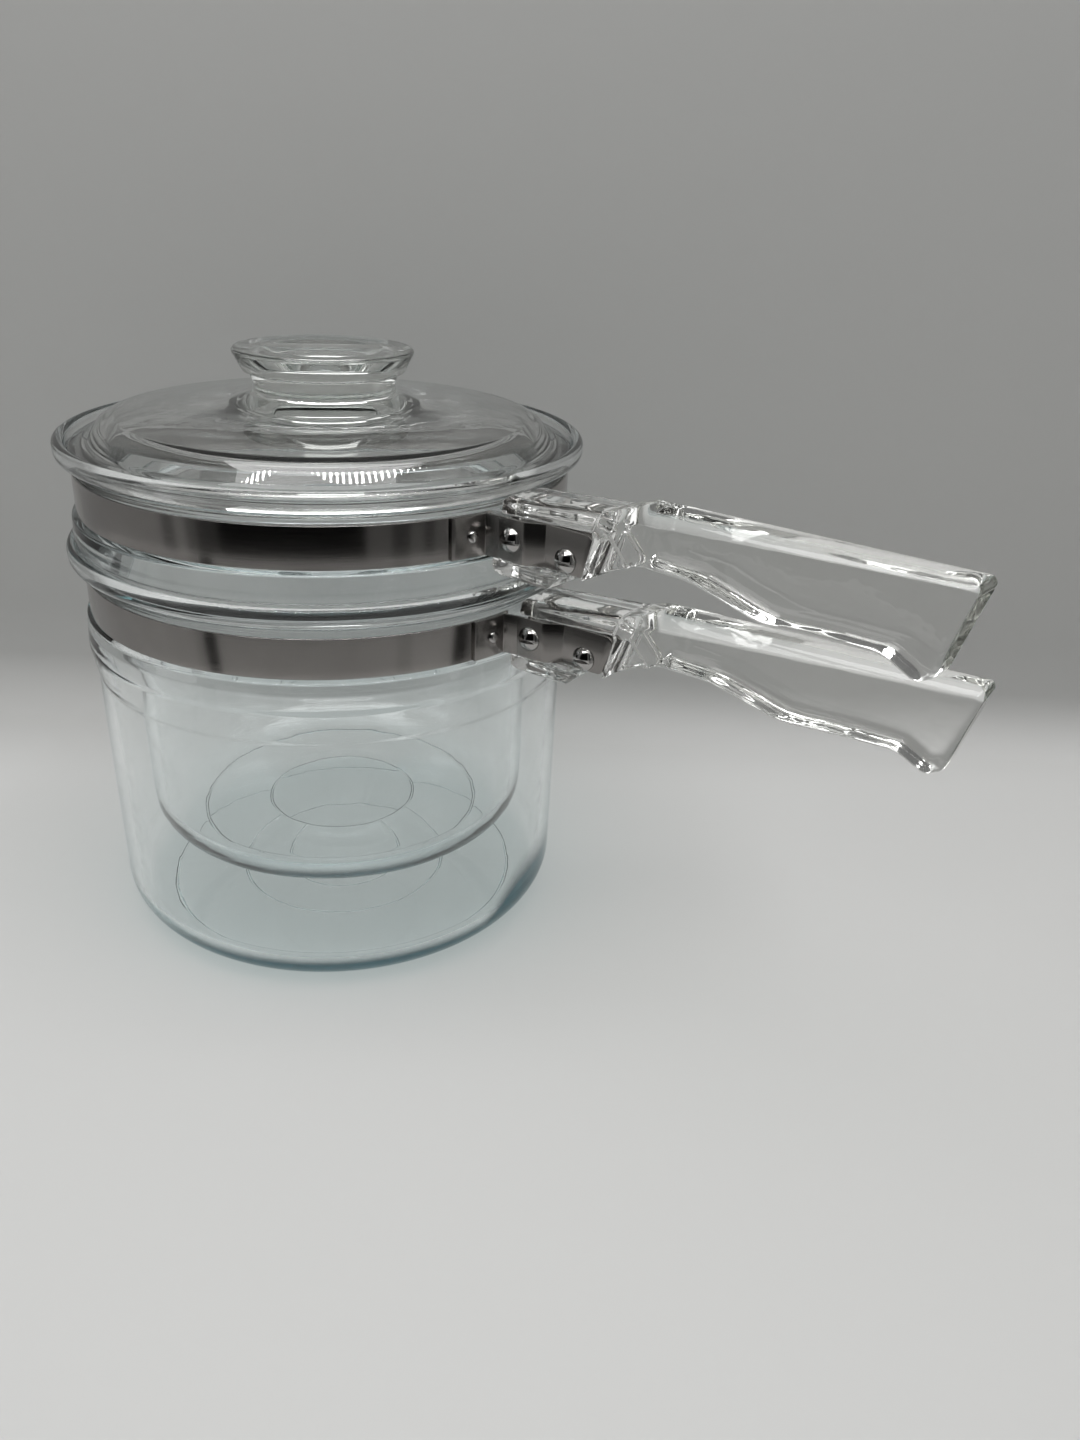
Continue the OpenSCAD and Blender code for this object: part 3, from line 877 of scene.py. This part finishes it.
camera_turn = Matrix((turn @ right, turn @ top, -(turn @ ahead))).transposed()
camera.matrix_world = Matrix.Translation(camera_place) @ camera_turn.to_4x4()
bpy.context.scene.camera = camera


# Stage and light, in metres

SWEEP_NEAR = -2.5
SWEEP_HALF = 2.0
SWEEP_BEND = 0.11
SWEEP_ROUND = 0.03
BACKDROP = [(0.142, 0.05), (0.145, 0.5), (0.15, 1.6)]

# The floor's pale paper turns greyer as it comes up to the backdrop, along a line that
# leans across the view
PAPER_PALE = (0.62, 0.62, 0.61)
PAPER_GREY = (0.42, 0.42, 0.41)
PAPER_LEAN = level * 0.55 - side * 0.045 + up
PAPER_TURN = 0.55 * 0.112
PAPER_EASE = 0.030


def stage_point(across, back, high):
    """A place given across the view, back from the pot's axis and up."""
    return turn @ (side * across + level * back + up * high)


def make_sweep():
    """A pale floor that runs up into a grey backdrop close behind the pots."""
    rows = [(SWEEP_NEAR, 0), (0.0, 0), (SWEEP_BEND, 0)]
    for degrees in range(10, 90, 10):
        angle = math.radians(degrees)
        rows.append((SWEEP_BEND + SWEEP_ROUND * math.sin(angle), SWEEP_ROUND * (1 - math.cos(angle))))
    rows += BACKDROP
    places = [stage_point(-SWEEP_HALF, back, high) for back, high in rows]
    piece = one_point("floor_sweep", places[0])
    draw_line(piece, places)
    bpy.ops.mesh.select_all(action="SELECT")
    bpy.ops.mesh.extrude_edges_move(TRANSFORM_OT_translate={"value": turn @ side * 2 * SWEEP_HALF})
    bpy.ops.mesh.select_all(action="SELECT")
    bpy.ops.mesh.normals_make_consistent(inside=False)
    shape = bmesh.from_edit_mesh(piece.data)
    if min(shape.faces, key=lambda face: face.calc_center_median().z).normal.z < 0:
        bpy.ops.mesh.flip_normals()
    done()
    smooth(piece)
    return piece


def floor_paper():
    """Matt paper, seen only from its front."""
    material, tree = new_material("floor paper")
    out = put(tree, "OutputMaterial")
    paper = put(tree, "BsdfPrincipled", Roughness=0.6, Specular_IOR_Level=0.25)
    place = put(tree, "TexCoord")
    slope = measure(tree, "DOT_PRODUCT", place.outputs["Object"], turn @ PAPER_LEAN)
    rise = spread(tree, slope, PAPER_TURN - PAPER_EASE, PAPER_TURN + PAPER_EASE, eased=True)
    wire(tree, blend(tree, rise, PAPER_PALE, PAPER_GREY), paper, "Base Color")
    mottle = put(tree, "TexNoise", Scale=40.0)
    bump = put(tree, "Bump", Distance=0.0002, Strength=0.3)
    wire(tree, place.outputs["Object"], mottle, "Vector")
    wire(tree, mottle.outputs["Fac"], bump, "Height")
    wire(tree, bump.outputs["Normal"], paper, "Normal")
    clear = put(tree, "BsdfTransparent")
    back = put(tree, "NewGeometry")
    mix = put(tree, "MixShader")
    wire(tree, back.outputs["Backfacing"], mix, "Fac")
    wire(tree, paper.outputs["BSDF"], mix, 1)
    wire(tree, clear.outputs["BSDF"], mix, 2)
    wire(tree, mix.outputs["Shader"], out, "Surface")
    return material


def soft_lamp(name, place, size, power):
    """A rectangular lamp that faces the middle of the pots and isn't seen itself."""
    lamp = bpy.data.lights.new(name, "AREA")
    lamp.shape = "RECTANGLE"
    lamp.size, lamp.size_y = size
    lamp.energy = power
    holder = bpy.data.objects.new(name, lamp)
    holder.location = place
    holder.rotation_euler = (POTS_MIDDLE - place).to_track_quat("-Z", "Y").to_euler()
    holder.visible_camera = False
    bpy.context.scene.collection.objects.link(holder)
    return holder


def card_cloth(name, tone):
    """Matt cloth of one grey."""
    cloth, tree = new_material(name)
    out = put(tree, "OutputMaterial")
    matt = put(tree, "BsdfDiffuse", Color=(tone, tone, tone, 1))
    wire(tree, matt.outputs["BSDF"], out, "Surface")
    return cloth


# Cards in tiers round the front: the first tier is mirrored by the upper band, the second by
# the lower band and the ears, and the third by both. Each tier has its lowest and highest
# height; each card has its start and end in degrees across the view and its tone, and each
# one stands a little before the one that was set up before it
CARD_AWAY = 0.30
CARD_STEP = 0.0005
CARD_TOP = 0.42
TONES = {"black": 0.006, "dark": 0.08, "dim": 0.20, "grey": 0.45, "pale": 0.57}
TIERS = [
    (0.071, CARD_TOP, [
        (-115, -56, "grey"), (-56, -40, "dim"), (-50, -45, "grey"), (-40, -31, "dark"),
        (-31, 24, "black"), (24, 34, "dim"), (34, 41, "dark"),
        (41, 60, "dim"), (47, 51, "dark"), (60, 68, "dark"), (68, 100, "grey"),
    ]),
    (0.0, 0.07, [
        (-115, 100, "pale"), (-45, -41, "grey"), (-41, -35.5, "black"), (35, 41, "grey"),
        (59.5, 66, "black"), (66, 70, "dim"),
    ]),
    (0.0, CARD_TOP, [(72, 88, "black")]),
]


def make_cards():
    """Cards seen only as reflections, as a photographer's flags are."""
    cloths = {name: card_cloth(name + " card", tone) for name, tone in TONES.items()}
    number = 0
    for low, high, cards in TIERS:
        for start, end, tone in cards:
            first = math.radians(start)
            away = CARD_AWAY - CARD_STEP * number
            place = stage_point(away * math.sin(first), -away * math.cos(first), low)
            card = one_point("reflection_card_%d" % number, place)
            bpy.ops.mesh.extrude_vertices_move(TRANSFORM_OT_translate={"value": (0, 0, high - low)})
            bpy.ops.mesh.select_all(action="SELECT")
            bpy.ops.mesh.spin(steps=24, angle=math.radians(end - start), center=(0, 0, 0),
                              axis=(0, 0, -1))
            done()
            card.data.materials.append(cloths[tone])
            card.visible_camera = False
            card.visible_shadow = False
            card.visible_diffuse = False
            card.visible_transmission = False
            number += 1


# Each softbox with its place, its size and its power in watts
POTS_MIDDLE = Vector((0, 0, 0.09))
SOFTBOXES = [
    ("overhead softbox", (0.0, -0.15, 1.1), (1.0, 0.8), 11.3),
    ("left softbox", (-1.1, -0.5, 0.7), (0.5, 0.9), 2.4),
    ("right softbox", (1.1, -0.3, 0.7), (0.5, 0.9), 1.4),
]

# Two rows of small lamps over the front, each seen as a bright dot in the rounded glass edges;
# the rows, given by how far back and how high they are, bend round the right-hand side
ROWS = [(-0.375, 0.68), (-0.305, 0.70)]
ROW_COUNT = 32
ROW_START = -0.30
ROW_STEP = 0.023
ROW_BEND = 1.3
ROW_BEND_FROM = 0.02
DOT_SIZE = (0.009, 0.012)
DOT_POWER = 0.02


def make_rows():
    """Sets up the rows; their light makes dots but doesn't fall on matt things."""
    for row, (back, high) in enumerate(ROWS):
        for i in range(ROW_COUNT):
            across = ROW_START + ROW_STEP * i
            bend = ROW_BEND * max(0, across - ROW_BEND_FROM) ** 2
            place = stage_point(across, back + bend, high)
            lamp = soft_lamp("row lamp %d %02d" % (row, i), place, DOT_SIZE, DOT_POWER)
            lamp.visible_diffuse = False


sweep = make_sweep()
sweep.data.materials.append(floor_paper())
for name, place, size, power in SOFTBOXES:
    soft_lamp(name, stage_point(*place), size, power)
make_cards()
make_rows()

world = bpy.data.worlds.new("studio")
bpy.context.scene.world = world
world.use_nodes = True
sky = world.node_tree.nodes["Background"]
sky.inputs["Color"].default_value = (0.5, 0.5, 0.5, 1)
sky.inputs["Strength"].default_value = 0.3

bpy.context.scene.view_settings.view_transform = "Standard"
cycles = bpy.context.scene.cycles
cycles.use_denoising = True
cycles.max_bounces = 28
cycles.transmission_bounces = 28
cycles.glossy_bounces = 8
cycles.diffuse_bounces = 3
cycles.transparent_max_bounces = 28
cycles.caustics_reflective = False
cycles.caustics_refractive = False
